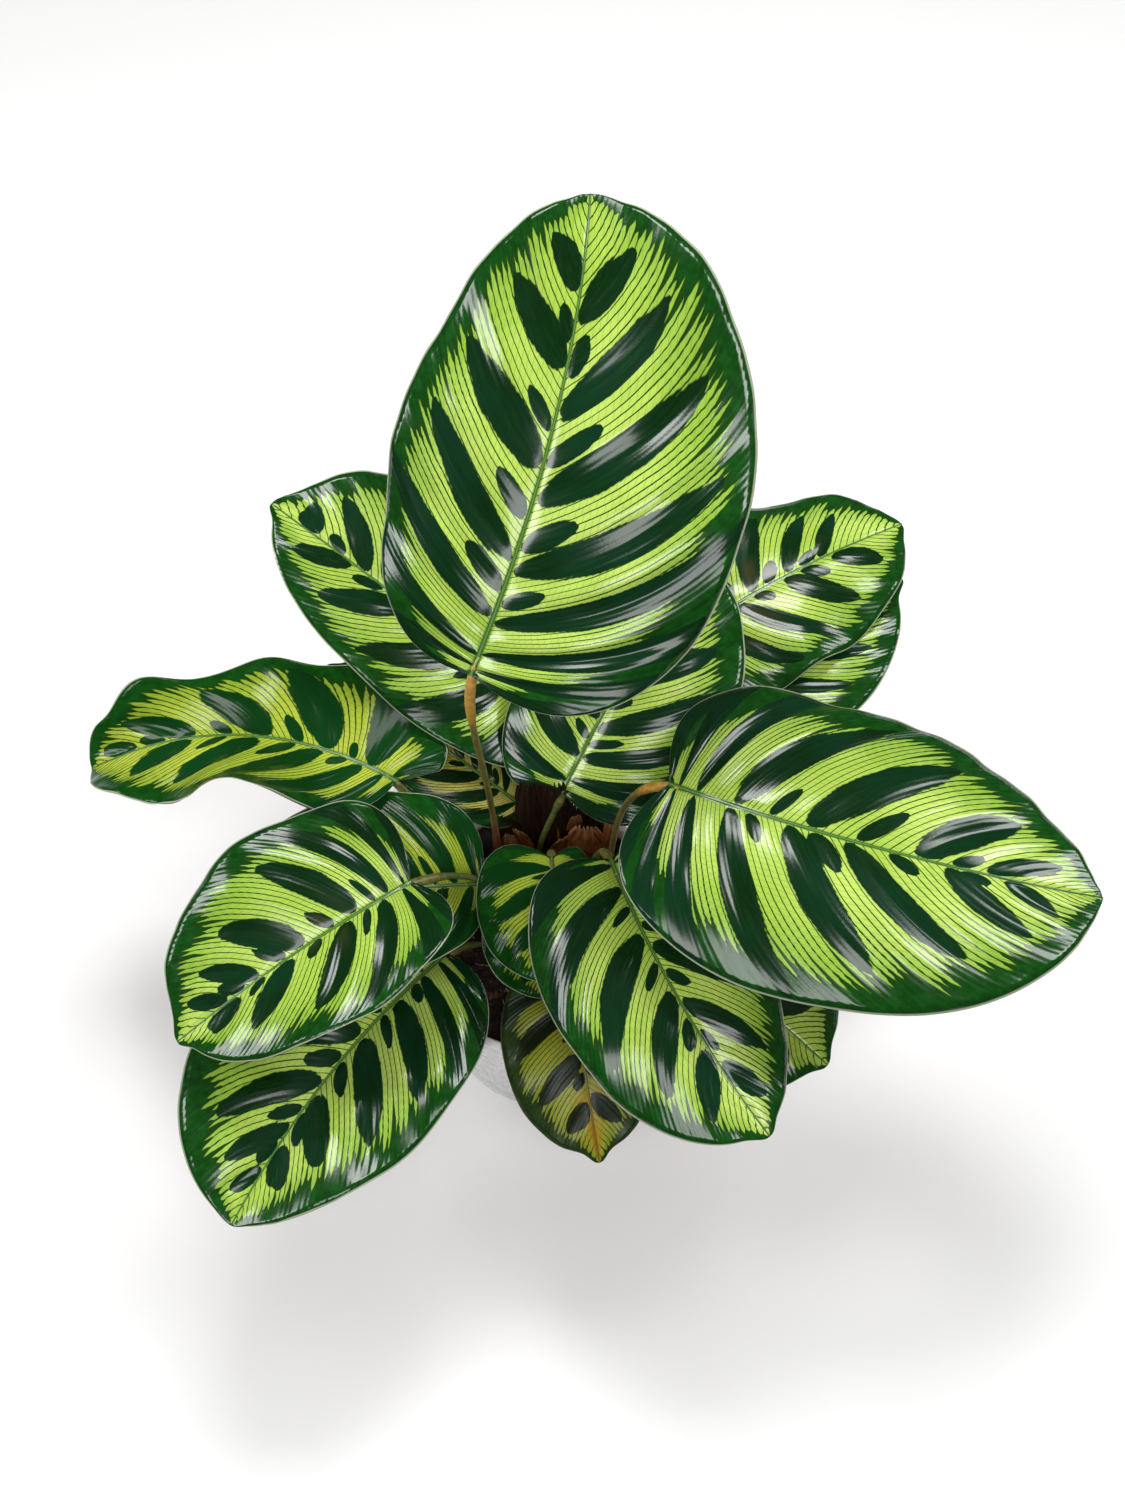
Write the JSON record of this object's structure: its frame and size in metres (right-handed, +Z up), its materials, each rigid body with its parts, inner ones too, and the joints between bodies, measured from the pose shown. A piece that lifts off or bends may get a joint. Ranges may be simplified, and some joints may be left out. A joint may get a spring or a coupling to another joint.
{
  "type": "potted peacock plant",
  "caption": "Peacock plant in a pale nursery pot: oval lime leaves with dark feather-like blotches, on slender stalks standing in soil.",
  "frame": {"origin": "centre of the pot's underside, on the flat pad that it stands on", "axes": "+Z up, -Y towards the plant's best side, +X to the right as seen from that side"},
  "size_m": [0.4224, 0.3227, 0.3476],
  "materials": {
    "blade": "glossy patterned leaf, purple underneath",
    "yellowing_blade": "old leaf, yellow-brown",
    "stalk": "smooth leaf stalk, brown-green",
    "dry_sheath": "dry and papery",
    "soil": "dark potting mix with crumbs",
    "pot": "pale, slightly translucent moulded plastic"
  },
  "bodies": {
    "root": {"leaf_top_blade": "blade", "leaf_upper_left_blade": "blade", "leaf_left_blade": "blade", "leaf_low_left_blade": "blade", "leaf_front_left_blade": "blade", "leaf_inner_left_blade": "blade", "leaf_inner_front_blade": "blade", "leaf_under_front_blade": "blade", "leaf_front_blade": "blade", "leaf_low_front_blade": "yellowing_blade", "leaf_right_blade": "blade", "leaf_low_right_blade": "blade", "leaf_centre_blade": "blade", "leaf_upper_right_blade": "blade", "leaf_back_right_blade": "blade", "leaf_back_left_blade": "blade", "leaf_top_stalk": "stalk", "leaf_upper_left_stalk": "stalk", "leaf_left_stalk": "stalk", "leaf_low_left_stalk": "stalk", "leaf_front_left_stalk": "stalk", "leaf_inner_left_stalk": "stalk", "leaf_inner_front_stalk": "stalk", "leaf_under_front_stalk": "stalk", "leaf_front_stalk": "stalk", "leaf_low_front_stalk": "stalk", "leaf_right_stalk": "stalk", "leaf_low_right_stalk": "stalk", "leaf_centre_stalk": "stalk", "leaf_upper_right_stalk": "stalk", "leaf_back_right_stalk": "stalk", "leaf_back_left_stalk": "stalk", "dry_sheath_left": "dry_sheath", "dry_sheath_middle": "dry_sheath", "dry_sheath_right": "dry_sheath", "soil": "soil", "pot": "pot"}
  },
  "joints": []
}
